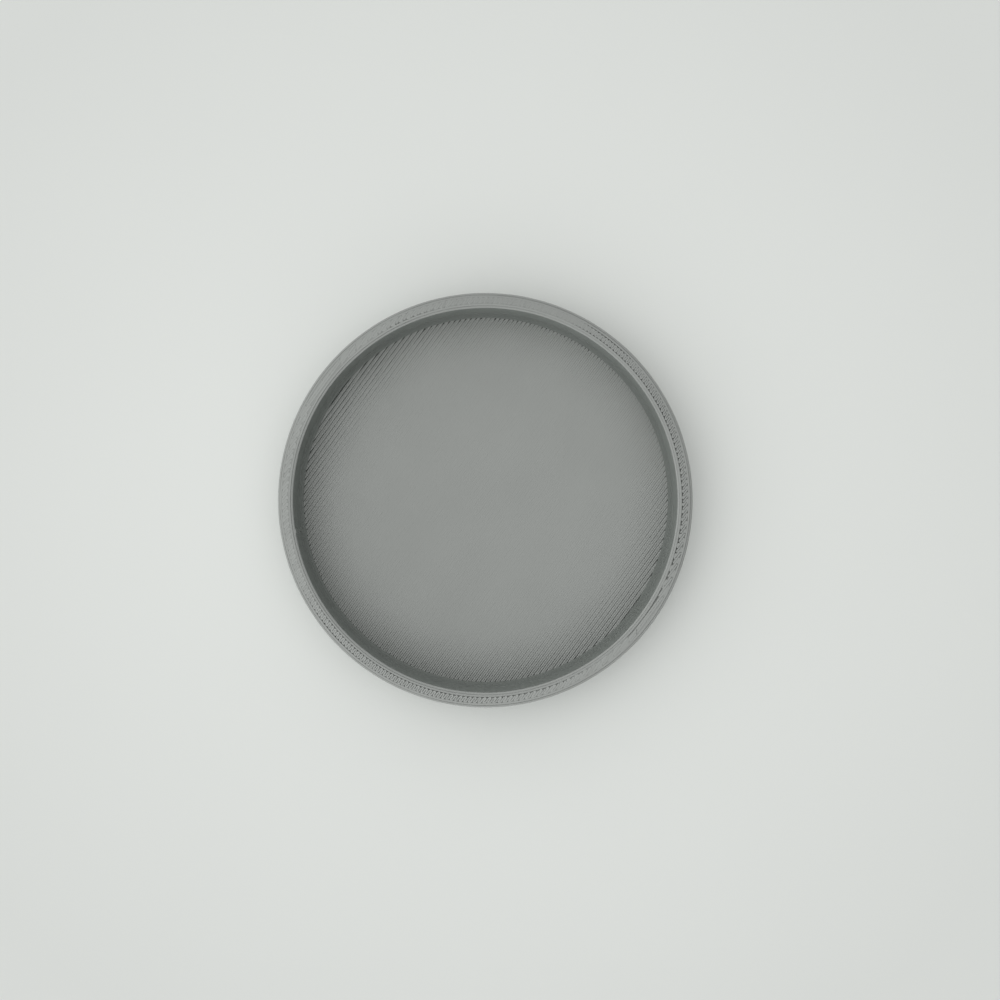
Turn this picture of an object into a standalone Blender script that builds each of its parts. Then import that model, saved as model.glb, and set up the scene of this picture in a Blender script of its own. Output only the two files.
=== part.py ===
"""Round key tray: a shallow printed dish that stands on four stick-on rubber feet.

Metres, +Z up. The origin is on the dish's axis, on the surface that the feet stand on.
Each sub-part is one object. The feet sit in shallow round pockets in the dish's underside.
"""

import math

import bmesh
import bpy

MM = 0.001

# Dish: a turned shape with one straight wall all round
WELL_DIAMETER = 72.0 * MM
WALL_THICKNESS = 2.8 * MM
WELL_DEPTH = 6.0 * MM
FLOOR_THICKNESS = 2.0 * MM
WELL_FILLET_RADIUS = 1.0 * MM
RIM_EDGE_RADIUS = 0.2 * MM
BASE_CHAMFER = 0.5 * MM

# Feet: stock stick-on rubber studs, narrower at the bottom than at the stuck face
FOOT_DIAMETER = 8.0 * MM
FOOT_HEIGHT = 2.2 * MM
FOOT_TAPER = 0.5 * MM
FOOT_EDGE_RADIUS = 0.5 * MM
ADHESIVE_GAP = 0.3 * MM
FOOT_COUNT = 4
FIRST_FOOT_ANGLE = math.radians(45)

# Pockets that locate the feet
POCKET_DEPTH = 0.8 * MM
POCKET_CLEARANCE = 0.3 * MM
POCKET_TO_SIDE = 6.0 * MM
CUTTER_OVERRUN = 1.0 * MM

# Facets round each turned shape, and along each rounded edge
DISH_FACETS = 144
FOOT_FACETS = 40
POCKET_FACETS = 48
FILLET_STEPS = 6
EDGE_STEPS = 4
SMOOTH_LIMIT = math.radians(35)
MERGE_DISTANCE = 0.001 * MM

# Levels and radii that the pieces share
WELL_RADIUS = WELL_DIAMETER / 2
DISH_RADIUS = WELL_RADIUS + WALL_THICKNESS
UNDERSIDE_Z = FOOT_HEIGHT + ADHESIVE_GAP - POCKET_DEPTH
FLOOR_Z = UNDERSIDE_Z + FLOOR_THICKNESS
RIM_Z = FLOOR_Z + WELL_DEPTH
FOOT_RADIUS = FOOT_DIAMETER / 2
POCKET_RADIUS = FOOT_RADIUS + POCKET_CLEARANCE
POCKET_ROOF_Z = UNDERSIDE_Z + POCKET_DEPTH
FOOT_CIRCLE_RADIUS = DISH_RADIUS - POCKET_TO_SIDE - POCKET_RADIUS

# Colours are linear red, green and blue
DISH_GREY = (0.300, 0.313, 0.300, 1.0)
FOOT_BLACK = (0.030, 0.031, 0.032, 1.0)


def clear_scene():
    """Remove every object, so that the script starts from an empty scene."""
    for thing in list(bpy.data.objects):
        bpy.data.objects.remove(thing, do_unlink=True)


def new_collection(name):
    """Make a collection under the scene's own and return it."""
    collection = bpy.data.collections.new(name)
    bpy.context.scene.collection.children.link(collection)
    return collection


def plain_material(name, colour, roughness):
    """Make a Principled material for an uncoated, non-metal surface."""
    material = bpy.data.materials.new(name)
    material.use_nodes = True
    shader = material.node_tree.nodes["Principled BSDF"]
    shader.inputs["Base Color"].default_value = colour
    shader.inputs["Roughness"].default_value = roughness
    shader.inputs["Metallic"].default_value = 0.0
    material.diffuse_color = colour
    return material


def arc(centre_r, centre_z, radius, first_degrees, last_degrees, steps):
    """Points of an arc in the profile's plane, as (distance from the axis, height)."""
    first = math.radians(first_degrees)
    sweep = math.radians(last_degrees) - first
    angles = [first + sweep * step / steps for step in range(steps + 1)]
    return [
        (centre_r + radius * math.cos(angle), centre_z + radius * math.sin(angle))
        for angle in angles
    ]


def dish_profile():
    """Half section of the dish, from the middle of its floor to the middle of its underside."""
    fillet = arc(
        WELL_RADIUS - WELL_FILLET_RADIUS,
        FLOOR_Z + WELL_FILLET_RADIUS,
        WELL_FILLET_RADIUS,
        -90,
        0,
        FILLET_STEPS,
    )
    rim_inside = arc(
        WELL_RADIUS + RIM_EDGE_RADIUS,
        RIM_Z - RIM_EDGE_RADIUS,
        RIM_EDGE_RADIUS,
        180,
        90,
        EDGE_STEPS,
    )
    rim_outside = arc(
        DISH_RADIUS - RIM_EDGE_RADIUS,
        RIM_Z - RIM_EDGE_RADIUS,
        RIM_EDGE_RADIUS,
        90,
        0,
        EDGE_STEPS,
    )
    chamfer = [
        (DISH_RADIUS, UNDERSIDE_Z + BASE_CHAMFER),
        (DISH_RADIUS - BASE_CHAMFER, UNDERSIDE_Z),
    ]
    floor_middle = (0, FLOOR_Z)
    underside_middle = (0, UNDERSIDE_Z)
    return [floor_middle, *fillet, *rim_inside, *rim_outside, *chamfer, underside_middle]


def foot_profile():
    """Half section of a foot, from its stuck face at z = 0 down to its flat bottom."""
    bottom_radius = FOOT_RADIUS - FOOT_TAPER
    rounded_edge = arc(
        bottom_radius - FOOT_EDGE_RADIUS,
        FOOT_EDGE_RADIUS - FOOT_HEIGHT,
        FOOT_EDGE_RADIUS,
        0,
        -90,
        EDGE_STEPS,
    )
    return [(0, 0), (FOOT_RADIUS, 0), *rounded_edge, (0, -FOOT_HEIGHT)]


def turned(name, profile, facets, collection):
    """Turn a profile round the Z axis with a Screw modifier and keep the result as a mesh."""
    outline = bpy.data.meshes.new(name + "_profile")
    points = [(distance, 0, height) for distance, height in profile]
    edges = [(step, step + 1) for step in range(len(points) - 1)]
    outline.from_pydata(points, edges, [])
    piece = bpy.data.objects.new(name, outline)
    collection.objects.link(piece)

    screw = piece.modifiers.new("turn", "SCREW")
    screw.axis = "Z"
    screw.angle = math.tau
    screw.steps = facets
    screw.render_steps = facets
    screw.use_merge_vertices = True
    screw.merge_threshold = MERGE_DISTANCE

    evaluated = piece.evaluated_get(bpy.context.evaluated_depsgraph_get())
    mesh = bpy.data.meshes.new_from_object(evaluated)
    mesh.name = name
    piece.modifiers.clear()
    piece.data = mesh
    bpy.data.meshes.remove(outline)
    mesh.shade_smooth()
    mesh.set_sharp_from_angle(angle=SMOOTH_LIMIT)
    return piece


def on_foot_circle(index):
    """Centre of one foot, in plan."""
    angle = FIRST_FOOT_ANGLE + math.tau * index / FOOT_COUNT
    return FOOT_CIRCLE_RADIUS * math.cos(angle), FOOT_CIRCLE_RADIUS * math.sin(angle)


def pocket_cutter(index, collection):
    """Round cutter that reaches from below the underside up to a pocket's roof."""
    height = POCKET_DEPTH + CUTTER_OVERRUN
    shape = bmesh.new()
    bmesh.ops.create_cone(
        shape,
        cap_ends=True,
        segments=POCKET_FACETS,
        radius1=POCKET_RADIUS,
        radius2=POCKET_RADIUS,
        depth=height,
    )
    mesh = bpy.data.meshes.new(f"pocket_cutter_{index + 1}")
    shape.to_mesh(mesh)
    shape.free()
    cutter = bpy.data.objects.new(mesh.name, mesh)
    x, y = on_foot_circle(index)
    cutter.location = (x, y, POCKET_ROOF_Z - height / 2)
    cutter.hide_render = True
    cutter.display_type = "WIRE"
    collection.objects.link(cutter)
    return cutter


def build_dish(tray, cutters):
    """Turn the dish and cut one pocket for each foot."""
    dish = turned("dish", dish_profile(), DISH_FACETS, tray)
    dish.data.materials.append(plain_material("dish_plastic", DISH_GREY, 0.55))
    for index in range(FOOT_COUNT):
        cut = dish.modifiers.new(f"pocket_{index + 1}", "BOOLEAN")
        cut.operation = "DIFFERENCE"
        cut.solver = "EXACT"
        cut.object = pocket_cutter(index, cutters)
    return dish


def build_feet(tray):
    """Turn one foot and place a copy in each pocket, below its film of adhesive."""
    first = turned("foot_1", foot_profile(), FOOT_FACETS, tray)
    first.data.materials.append(plain_material("foot_rubber", FOOT_BLACK, 0.7))
    feet = [first]
    for index in range(1, FOOT_COUNT):
        foot = bpy.data.objects.new(f"foot_{index + 1}", first.data)
        tray.objects.link(foot)
        feet.append(foot)
    for index, foot in enumerate(feet):
        x, y = on_foot_circle(index)
        foot.location = (x, y, POCKET_ROOF_Z - ADHESIVE_GAP)
    return feet


def main():
    clear_scene()
    tray = new_collection("key_tray")
    cutters = new_collection("cutters")
    build_dish(tray, cutters)
    build_feet(tray)
    print(f"dish {2 * DISH_RADIUS / MM:.1f} mm across, rim {RIM_Z / MM:.1f} mm above the table")
    print(f"well {WELL_DIAMETER / MM:.1f} mm across and {WELL_DEPTH / MM:.1f} mm deep")


main()
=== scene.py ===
# %% [markdown]
# # A key tray, line by line
# The real tray is a filament print, so its looks are the printer's own marks: round lines of
# plastic side by side on the floor and the rim, and stacked lines up the walls. A flat surface
# with a picture of lines on it would look right from one side only, so here the lines are shape.
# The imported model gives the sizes, and every piece below is placed from them.

import math

import bmesh
import bpy
import numpy as np
from mathutils import Matrix, Vector


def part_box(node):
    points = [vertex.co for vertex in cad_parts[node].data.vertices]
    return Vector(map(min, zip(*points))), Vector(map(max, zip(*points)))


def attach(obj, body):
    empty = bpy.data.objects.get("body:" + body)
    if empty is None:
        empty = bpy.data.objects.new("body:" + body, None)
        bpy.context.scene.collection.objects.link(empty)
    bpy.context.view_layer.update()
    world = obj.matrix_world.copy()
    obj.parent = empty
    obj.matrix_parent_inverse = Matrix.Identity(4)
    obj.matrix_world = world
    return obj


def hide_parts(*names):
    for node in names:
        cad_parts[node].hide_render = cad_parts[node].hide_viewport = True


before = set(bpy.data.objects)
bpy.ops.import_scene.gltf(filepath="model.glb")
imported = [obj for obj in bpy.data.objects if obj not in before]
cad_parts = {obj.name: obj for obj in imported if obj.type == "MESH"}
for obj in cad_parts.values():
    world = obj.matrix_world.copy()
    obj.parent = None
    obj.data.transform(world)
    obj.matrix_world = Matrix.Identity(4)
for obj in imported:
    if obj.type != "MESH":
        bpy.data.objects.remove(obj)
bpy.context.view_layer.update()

MM = 0.001
TINY = 0.01 * MM


def in_mm(value):
    """A length in millimetres, rounded for printing."""
    return round(float(value) / MM, 3)


# %% [markdown]
# ## Measure the dish
# The dish is a turned shape, so a few levels and radii say all about it. They are read from the
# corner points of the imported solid, which keeps the two models in step: if the dish is made
# deeper or wider, every printed line below follows.

# %% Read levels and radii from the solid's corner points
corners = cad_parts["dish"].data.vertices
dish_points = np.empty(3 * len(corners))
corners.foreach_get("co", dish_points)
dish_points = dish_points.reshape(-1, 3)
from_axis = np.hypot(dish_points[:, 0], dish_points[:, 1])
level = dish_points[:, 2]

RIM_Z = level.max()
UNDERSIDE_Z = level.min()
DISH_RADIUS = from_axis.max()
WELL_RADIUS = from_axis[level > (UNDERSIDE_Z + RIM_Z) / 2].min()
NEAR_WALL = 0.95
by_wall = (from_axis > NEAR_WALL * WELL_RADIUS) & (from_axis < WELL_RADIUS - TINY)
FLOOR_Z = level[by_wall & (level > UNDERSIDE_Z + TINY)].min()
WELL_FILLET = WELL_RADIUS - from_axis[by_wall & (abs(level - FLOOR_Z) < TINY)].max()
BASE_CHAMFER = DISH_RADIUS - from_axis[abs(level - UNDERSIDE_Z) < TINY].max()

print("dish radius", in_mm(DISH_RADIUS), "well radius", in_mm(WELL_RADIUS))
print("underside, floor and rim at", in_mm(UNDERSIDE_Z), in_mm(FLOOR_Z), in_mm(RIM_Z))
print("foot of the wall rounded by", in_mm(WELL_FILLET), "base edge cut by", in_mm(BASE_CHAMFER))

# %% Find the feet and their pockets
foot_names = sorted(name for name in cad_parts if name.startswith("foot"))
foot_centres = []
for name in foot_names:
    low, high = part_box(name)
    foot_centres.append(((low[0] + high[0]) / 2, (low[1] + high[1]) / 2))
FOOT_RADIUS = (high[0] - low[0]) / 2
FOOT_TOP_Z = high[2]

in_pocket = (level > UNDERSIDE_Z + TINY) & (level < FLOOR_Z - TINY) & (from_axis < WELL_RADIUS)
roof_points = dish_points[in_pocket]
POCKET_ROOF_Z = roof_points[:, 2].max()
to_feet = [np.hypot(roof_points[:, 0] - x, roof_points[:, 1] - y) for x, y in foot_centres]
POCKET_RADIUS = np.min(to_feet, axis=0).max()
print("feet", in_mm(2 * FOOT_RADIUS), "across, pockets", in_mm(2 * POCKET_RADIUS))
print("pocket roof at", in_mm(POCKET_ROOF_Z), "top of the feet at", in_mm(FOOT_TOP_Z))

# %% [markdown]
# ## The printer's settings
# A printer lays plastic in layers 0.2 mm high. A line is squashed flat on top and round at its
# sides, and neighbours overlap at their round sides, so they lie closer than they are wide. The
# fill slants one way on every second layer and square to that on the layers between. Floor and
# rim both end on a layer of the same slant.

# %% Line widths, layer height and slant of the fill
LAYER = 0.2 * MM
TOP_LINE = 0.42 * MM
OUTSIDE_LINE = 0.42 * MM
INSIDE_LINE = 0.45 * MM
BED_LINE = 0.50 * MM
FILL_SLANT = math.radians(53.7)


def spacing(width):
    """Distance between neighbouring lines of that width, whose round sides overlap."""
    return width - LAYER * (1 - math.pi / 4)


FILL_PITCH = spacing(TOP_LINE)
LOOP_PITCH = (spacing(OUTSIDE_LINE) + spacing(INSIDE_LINE)) / 2
BED_PITCH = spacing(BED_LINE)
print("fill pitch", in_mm(FILL_PITCH), "loop pitch", in_mm(LOOP_PITCH))

# %% [markdown]
# The top of one line, seen end on, is flat in the middle and falls away as a quarter circle with
# a radius of half a layer. Past its side there is a hole down to the layer below. One function
# of the distance from a line's middle gives all of it, so any pattern of lines becomes a surface
# once the distance to the nearest line is known.

# %% Height lost at a distance from the middle of a line
LINE_SIDE = LAYER / 2
CROWN = 0.006 * MM
HOLE_SLOPE = 3.0
HOLE_DEPTH = 1.9 * LAYER


def drop(distance, width):
    """How far a line's surface lies below its crown, at a distance from its middle."""
    past_flat = np.clip(distance - (width / 2 - LINE_SIDE), 0, LINE_SIDE)
    rounding = LINE_SIDE - np.sqrt(LINE_SIDE**2 - past_flat**2)
    dome = CROWN * (2 * distance / width) ** 2
    hole = HOLE_SLOPE * np.maximum(distance - width / 2, 0)
    return np.minimum(rounding + dome + hole, HOLE_DEPTH)


print("groove between two fill lines is", in_mm(drop(FILL_PITCH / 2, TOP_LINE)), "mm deep")

# %% [markdown]
# A printed surface is never quite even: the flow of plastic swells and shrinks a little. A few
# sine waves of odd lengths, added up with random phases, make such a wander. The random numbers
# are seeded, so that each run makes the same tray. Other changes hold toward one side of the
# tray, and a second helper fades those; its directions turn anticlockwise from the right.

# %% Helpers for gentle changes
SEED = 41
ONE_LINE = np.zeros(1, int)
rng = np.random.default_rng(SEED)


def toward(angle, centre, spread):
    """1 in the direction of centre, falling to 0 at a spread from it; both are in degrees."""
    away = np.degrees(np.angle(np.exp(1j * (angle - math.radians(centre)))))
    return np.clip(1 - (away / spread) ** 2, 0, 1)


def share_toward(angle, sides):
    """Sum of shares that each hold toward one side, given as (share, centre, spread)."""
    return sum(share * toward(angle, centre, spread) for share, centre, spread in sides)


def wander(position, rates, line=ONE_LINE):
    """Smooth random values of about -1 to 1 along position, different for each line number."""
    total = 0.0
    for rate in rates:
        phases = rng.uniform(0, math.tau, line.max() + 1)
        total = total + np.sin(rate * position + phases[line][:, None])
    return total / math.sqrt(len(rates))


print("wander at four places:", np.round(wander(np.arange(4.0), (1, 3))[0], 2))

# %% [markdown]
# ## From points to closed pieces
# Each piece starts as a grid of points in a NumPy array, which is fast to compute and goes into
# a mesh in one call. A ring has its points round the axis and round its section. Both directions
# close on themselves, so the skin is whole, with no ends to cap.


# %% Helpers that turn grids of points into pieces
SHARP_ANGLE = math.radians(70)


def add_object(name, data):
    """Put an object with this mesh, camera or light into the scene."""
    thing = bpy.data.objects.new(name, data)
    bpy.context.scene.collection.objects.link(thing)
    return thing


def add_piece(name, points, faces):
    """Make a mesh object from points and faces, smooth but for its sharp corners."""
    mesh = bpy.data.meshes.new(name)
    mesh.from_pydata(points.reshape(-1, 3).tolist(), [], faces)
    mesh.shade_smooth()
    mesh.set_sharp_from_angle(angle=SHARP_ANGLE)
    print(name, "has", len(mesh.polygons), "faces")
    return add_object(name, mesh)


def mesh_from(shape, name):
    """Mesh from a finished bmesh, which is freed."""
    mesh = bpy.data.meshes.new(name)
    shape.to_mesh(mesh)
    shape.free()
    return mesh


def quads(first, second, third, fourth):
    """Faces from four arrays of point numbers."""
    return np.stack([a.ravel() for a in (first, second, third, fourth)], axis=1).tolist()


def ring_piece(name, angle, radius, height):
    """Closed ring from arrays of angles by section points; the section runs up its outside."""
    x = radius * np.cos(angle[:, None])
    y = radius * np.sin(angle[:, None])
    number = np.arange(radius.size).reshape(radius.shape)
    onward = np.roll(number, -1, axis=1)
    turned = np.roll(number, -1, axis=0)
    faces = quads(number, turned, np.roll(onward, -1, axis=0), onward)
    return add_piece(name, np.stack([x, y, height], axis=2), faces)


def open_ring_piece(name, angle, radius, height, inset, low):
    """Ring whose points run outward over its top; two points at a height of low close it."""
    under_radius = np.stack([radius[:, -1] - inset, radius[:, 0] + inset], axis=1)
    radius = np.concatenate([radius, under_radius], axis=1)
    height = np.concatenate([height, np.full(under_radius.shape, low)], axis=1)
    return ring_piece(name, angle, radius[:, ::-1], height[:, ::-1])


# %% [markdown]
# A turned piece, such as a foot, has a profile that starts and ends on the axis. Blender's Screw
# modifier could turn it. Doing the same by hand costs a few lines, and keeps one point at each
# pole instead of a ring of doubled ones.


# %% Helper for turned pieces
def turned_piece(name, profile, steps, centre=(0, 0)):
    """Turn a profile of (radius, height) round an upright axis, from its bottom to its top."""
    ring = np.array(profile[1:-1])
    angle = np.arange(steps) * math.tau / steps
    x = centre[0] + ring[None, :, 0] * np.cos(angle)[:, None]
    y = centre[1] + ring[None, :, 0] * np.sin(angle)[:, None]
    z = np.broadcast_to(ring[None, :, 1], x.shape)
    poles = [[centre[0], centre[1], profile[0][1]], [centre[0], centre[1], profile[-1][1]]]
    points = np.concatenate([np.stack([x, y, z], axis=2).reshape(-1, 3), poles])
    number = np.arange(x.size).reshape(x.shape)
    turned = np.roll(number, -1, axis=0)
    faces = quads(number[:, :-1], turned[:, :-1], turned[:, 1:], number[:, 1:])
    for here, following in zip(number, turned):
        faces.append([x.size, int(following[0]), int(here[0])])
        faces.append([x.size + 1, int(here[-1]), int(following[-1])])
    return add_piece(name, points, faces)


# %% [markdown]
# ## The camera
# The photograph looks straight down from about 19 cm above the table. The tray's wall shows all
# round, and how much of it shows on each side fixes where the lens was. The camera hangs a few
# millimetres off the axis and leans back by the same amount.

# %% Camera
LENS = 35.22
SENSOR_WIDTH = 36.0
NEAREST_SEEN = 0.01
CAMERA_PLACE = Vector((3.195, 2.948, 192.6)) * MM
CAMERA_AIM = Vector((2.768, 0.164, 9.7)) * MM

camera_data = bpy.data.cameras.new("overhead_camera")
camera_data.lens = LENS
camera_data.sensor_width = SENSOR_WIDTH
camera_data.clip_start = NEAREST_SEEN
camera = add_object("overhead_camera", camera_data)
camera.location = CAMERA_PLACE
backward = (CAMERA_PLACE - CAMERA_AIM).normalized()
right = Vector((0, 1, 0)).cross(backward).normalized()
camera.rotation_euler = Matrix((right, backward.cross(right), backward)).transposed().to_euler()
bpy.context.scene.camera = camera
print("camera is", in_mm(camera.location.z - RIM_Z), "mm above the rim")

# %% [markdown]
# ## The floor's top layer
# The floor is a field of straight lines from the lower left to the upper right. The nozzle goes
# out along one line and comes back along the next, and lands a touch off the middle each way, so
# the lines stand in pairs and every second groove is deeper. Near the wall, where the nozzle
# slows down and turns, the pairs draw closer and dark gaps open between them.
#
# Points are only needed where a line's section bends, so each line has seven rows of them. Six
# lie on the line, at shares of its half width, and the seventh lies in the groove after it.

# %% Helpers that place a field of lines
SECTION_SHARES = (-0.97, -0.80, -0.50, 0.50, 0.80, 0.97)
GROOVE_SHARE = 2.0


def field_rows(pitch, width, first, reach):
    """Line number and section share of each row of points across a field of lines."""
    lowest = math.floor((-reach - first) / pitch)
    highest = math.ceil((reach - first) / pitch)
    numbers = np.arange(lowest, highest + 1)
    shares = np.array([*SECTION_SHARES, GROOVE_SHARE])
    number, share = (grid.ravel() for grid in np.meshgrid(numbers, shares, indexing="ij"))
    offset = np.where(share == GROOVE_SHARE, pitch / 2, share * width / 2)
    across = first + number * pitch + offset
    inside = abs(across) < reach
    return number[inside], share[inside], across[inside]


def shape_rows(number, share, pitch, width, first, shift):
    """Places across and height lost along each row; the lines shift sideways in pairs."""
    number = number[:, None]
    share = share[:, None]
    side = np.where(share < 0, -1, 1)
    shift = np.where(number % 2 == 0, 1.0, -1.0) * shift
    half_gap = pitch / 2 - side * shift
    reach = abs(share) * np.minimum(width / 2, half_gap)
    reach = np.where(share == GROOVE_SHARE, half_gap, reach)
    return first + number * pitch + shift + side * reach, drop(reach, width)


# %% [markdown]
# A disc cut from the field gets its points at the same shares of every row's length, closer
# together toward the wall, so its outline is a clean circle. A skirt and one flat face close it
# underneath.


# %% Helper that makes a disc of lines
ALONG_STEPS = 60
BUNCHING = math.radians(80)


def field_piece(name, across, along, over, height, slant, base_z):
    """Closed disc with a field of lines on its face; base_z says where its flat side is."""
    x = along * math.cos(slant) - over * math.sin(slant)
    y = along * math.sin(slant) + over * math.cos(slant)
    face = np.stack([x, y, height], axis=2)
    number = np.arange(along.size).reshape(along.shape)
    edge = np.concatenate([number[0, :-1], number[:-1, -1], number[-1, :0:-1], number[:0:-1, 0]])
    skirt = face.reshape(-1, 3)[edge]
    skirt[:, 2] = base_z
    low = along.size + np.arange(len(edge))
    faces = quads(number[:-1, :-1], number[:-1, 1:], number[1:, 1:], number[1:, :-1])
    faces += quads(low, np.roll(low, -1), np.roll(edge, -1), edge)
    faces.append(low[::-1].tolist())
    if base_z > height[0, 0]:
        faces = [corners[::-1] for corners in faces]
    return add_piece(name, np.concatenate([face.reshape(-1, 3), skirt]), faces)


def along_rows(across, radius):
    """Places along each row, closer together toward the wall."""
    share = np.sin(np.linspace(-1, 1, ALONG_STEPS) * BUNCHING) / math.sin(BUNCHING)
    return np.sqrt(radius**2 - across**2)[:, None] * share[None, :]


# %% [markdown]
# The photograph shows the deepest grooves beside the upper left and lower right walls, which run
# along with the lines. At the two other ends the lines stop short of the wall's foot, and a row
# of tiny holes is left between the pairs. Toward the bottom and the left the lines are thinner.

# %% Where the floor's lines pair up and grow thin
FLOOR_RADIUS = WELL_RADIUS - LINE_SIDE
LAST_LINE = 0.9995
FIRST_TOP_LINE = -36.395 * MM
FLOOR_HOLLOW = 0.6 * MM
BAND_STARTS = 0.74
BAND_FULL = 0.95
BAND_SHAPE = 1.5
BEFORE_FOOT = 0.25 * MM
FOOT_STARTS = (WELL_RADIUS - WELL_FILLET - BEFORE_FOOT) / WELL_RADIUS
FOOT_BAND = 0.008
MIDDLE_SHIFT = 0.005 * MM
BESIDE_SHIFT = 0.025 * MM
BESIDE_SHAPE = 4
BESIDE_LEAN = 0.35
END_SHIFT = 0.030 * MM
UPPER_END_SHIFT = 0.060 * MM
UPPER_END = (95, 60)
UNEVEN = 0.45
THINNEST = 0.18
THIN_LINES = ((1.0, -70, 80), (0.4, 200, 65))
MIDDLE_DEPTH = 0.50
BAND_DEPTH = 1.5
FLOW_RATES = (1 / (1.7 * MM), 1 / (0.9 * MM), 1 / (0.43 * MM))
FLOW_LIFT = 0.0022 * MM
print("floor lines change from", in_mm(BAND_STARTS * WELL_RADIUS), "mm off the axis")

# %% Lay the floor's top layer
number, share, across = field_rows(FILL_PITCH, TOP_LINE, FIRST_TOP_LINE, LAST_LINE * FLOOR_RADIUS)
line = number - number.min()
along = along_rows(across, FLOOR_RADIUS)
out = np.hypot(along, across[:, None]) / WELL_RADIUS
bearing = np.arctan2(across[:, None], along) + FILL_SLANT
in_band = np.clip((out - BAND_STARTS) / (BAND_FULL - BAND_STARTS), 0, 1)
lean = 1 + BESIDE_LEAN * np.sign(across[:, None])
beside = (across[:, None] / (out * WELL_RADIUS)) ** BESIDE_SHAPE * lean
at_foot = np.clip((out - FOOT_STARTS) / FOOT_BAND, 0, 1)
beside_shift = BESIDE_SHIFT * in_band**BAND_SHAPE * beside
end_shift = (END_SHIFT + UPPER_END_SHIFT * toward(bearing, *UPPER_END)) * at_foot
uneven = 1 + UNEVEN * wander(along, FLOW_RATES[:2], line // 2)
shift = MIDDLE_SHIFT + (beside_shift + end_shift) * uneven
thin = np.minimum(in_band * share_toward(bearing, THIN_LINES), 1)
width = TOP_LINE * (1 - THINNEST * thin)
over, lost = shape_rows(number, share, FILL_PITCH, width, FIRST_TOP_LINE, shift)
depth = MIDDLE_DEPTH + in_band * (BAND_DEPTH - MIDDLE_DEPTH)
lost = np.minimum(lost * depth, HOLE_DEPTH)
height = FLOOR_Z - lost + FLOW_LIFT * wander(along, FLOW_RATES, line)
floor_lines = field_piece(
    "floor_top_lines", across, along, over, height, FILL_SLANT, FLOOR_Z - FLOOR_HOLLOW
)
print(line.max() + 1, "lines on the floor, deepest groove", in_mm(lost.max()), "mm")

# %% [markdown]
# ## Loops round the rim
# Two lines run round each edge of the rim, laid before the fill between them. Each layer has to
# start somewhere: the nozzle leaves a small nub where a loop begins and ends. On this tray it
# shows on the inner edge, at the left.

# %% Section of two loops side by side
SIDE_SHARES = (-1.0, -0.94, -0.80, -0.50, 0.0, 0.50, 0.80)
SEAM_ANGLE = math.radians(189.1)
SEAM_WIDTH = 0.28 * MM
SEAM_NUB = 0.15 * MM
OUTER_SEAM_ANGLE = math.radians(186.0)
OUTER_SEAM_NUB = 0.045 * MM
SEAM_REACH = math.radians(1.4)
SEAM_STEPS = 15


def pair_section(middles, widths):
    """Radii and height lost across two loops that lie side by side, from the axis outward."""
    near = [middles[0] + share * widths[0] / 2 for share in SIDE_SHARES]
    far = [middles[1] - share * widths[1] / 2 for share in reversed(SIDE_SHARES)]
    between = (middles[0] + widths[0] / 2 + middles[1] - widths[1] / 2) / 2
    radii = np.array([*near, between, *far])
    lost = [drop(abs(radii - middle), width) for middle, width in zip(middles, widths)]
    return radii, np.minimum(*lost)


def angles_with_seams(steps):
    """Even angles round the tray, with finer ones added where the seams are."""
    even = np.arange(steps) * math.tau / steps
    fine = SEAM_REACH * np.linspace(-1, 1, SEAM_STEPS)
    return np.unique(np.concatenate([even, SEAM_ANGLE + fine, OUTER_SEAM_ANGLE + fine]))


def nub(angle, place, radius):
    """Share of a seam's nub at each angle, 1 at its middle."""
    return np.exp(-(((angle - place) * radius / SEAM_WIDTH) ** 2))


# %% [markdown]
# The line at the rim's edge has nothing to lean on, so it sinks a little toward that edge. The
# groove between the two lines of a pair isn't equally open all round: in the inner pair it opens
# toward the left, in the outer pair toward the right, and there the edge sinks most.

# %% Shape a pair of loops
LOOP_STEPS = 720
LOOP_RATES = (5, 11, 17, 29)
LOOP_SWAY = 0.006 * MM
INNER_MIDDLES = (WELL_RADIUS + OUTSIDE_LINE / 2, WELL_RADIUS + OUTSIDE_LINE / 2 + LOOP_PITCH)
OUTER_MIDDLES = (DISH_RADIUS - OUTSIDE_LINE / 2 - LOOP_PITCH, DISH_RADIUS - OUTSIDE_LINE / 2)
BETWEEN = len(SIDE_SHARES)
EVEN_OPENING = 0.6
SIDE_OPENING = 0.4
UNEVEN_OPENING = 0.15
BESIDE_GROOVE = 0.3
FILL_FALL = 0.02 * MM
EDGE_FALL = 0.10 * MM
EDGE_REACH = 0.45 * MM
EDGE_SHAPE = 1.3
EXTRA_FALL = 0.9
FALL_SPREAD = 65
LOOPS_HOLLOW = 1.5 * LAYER
NUB_ROWS = 3


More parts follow.
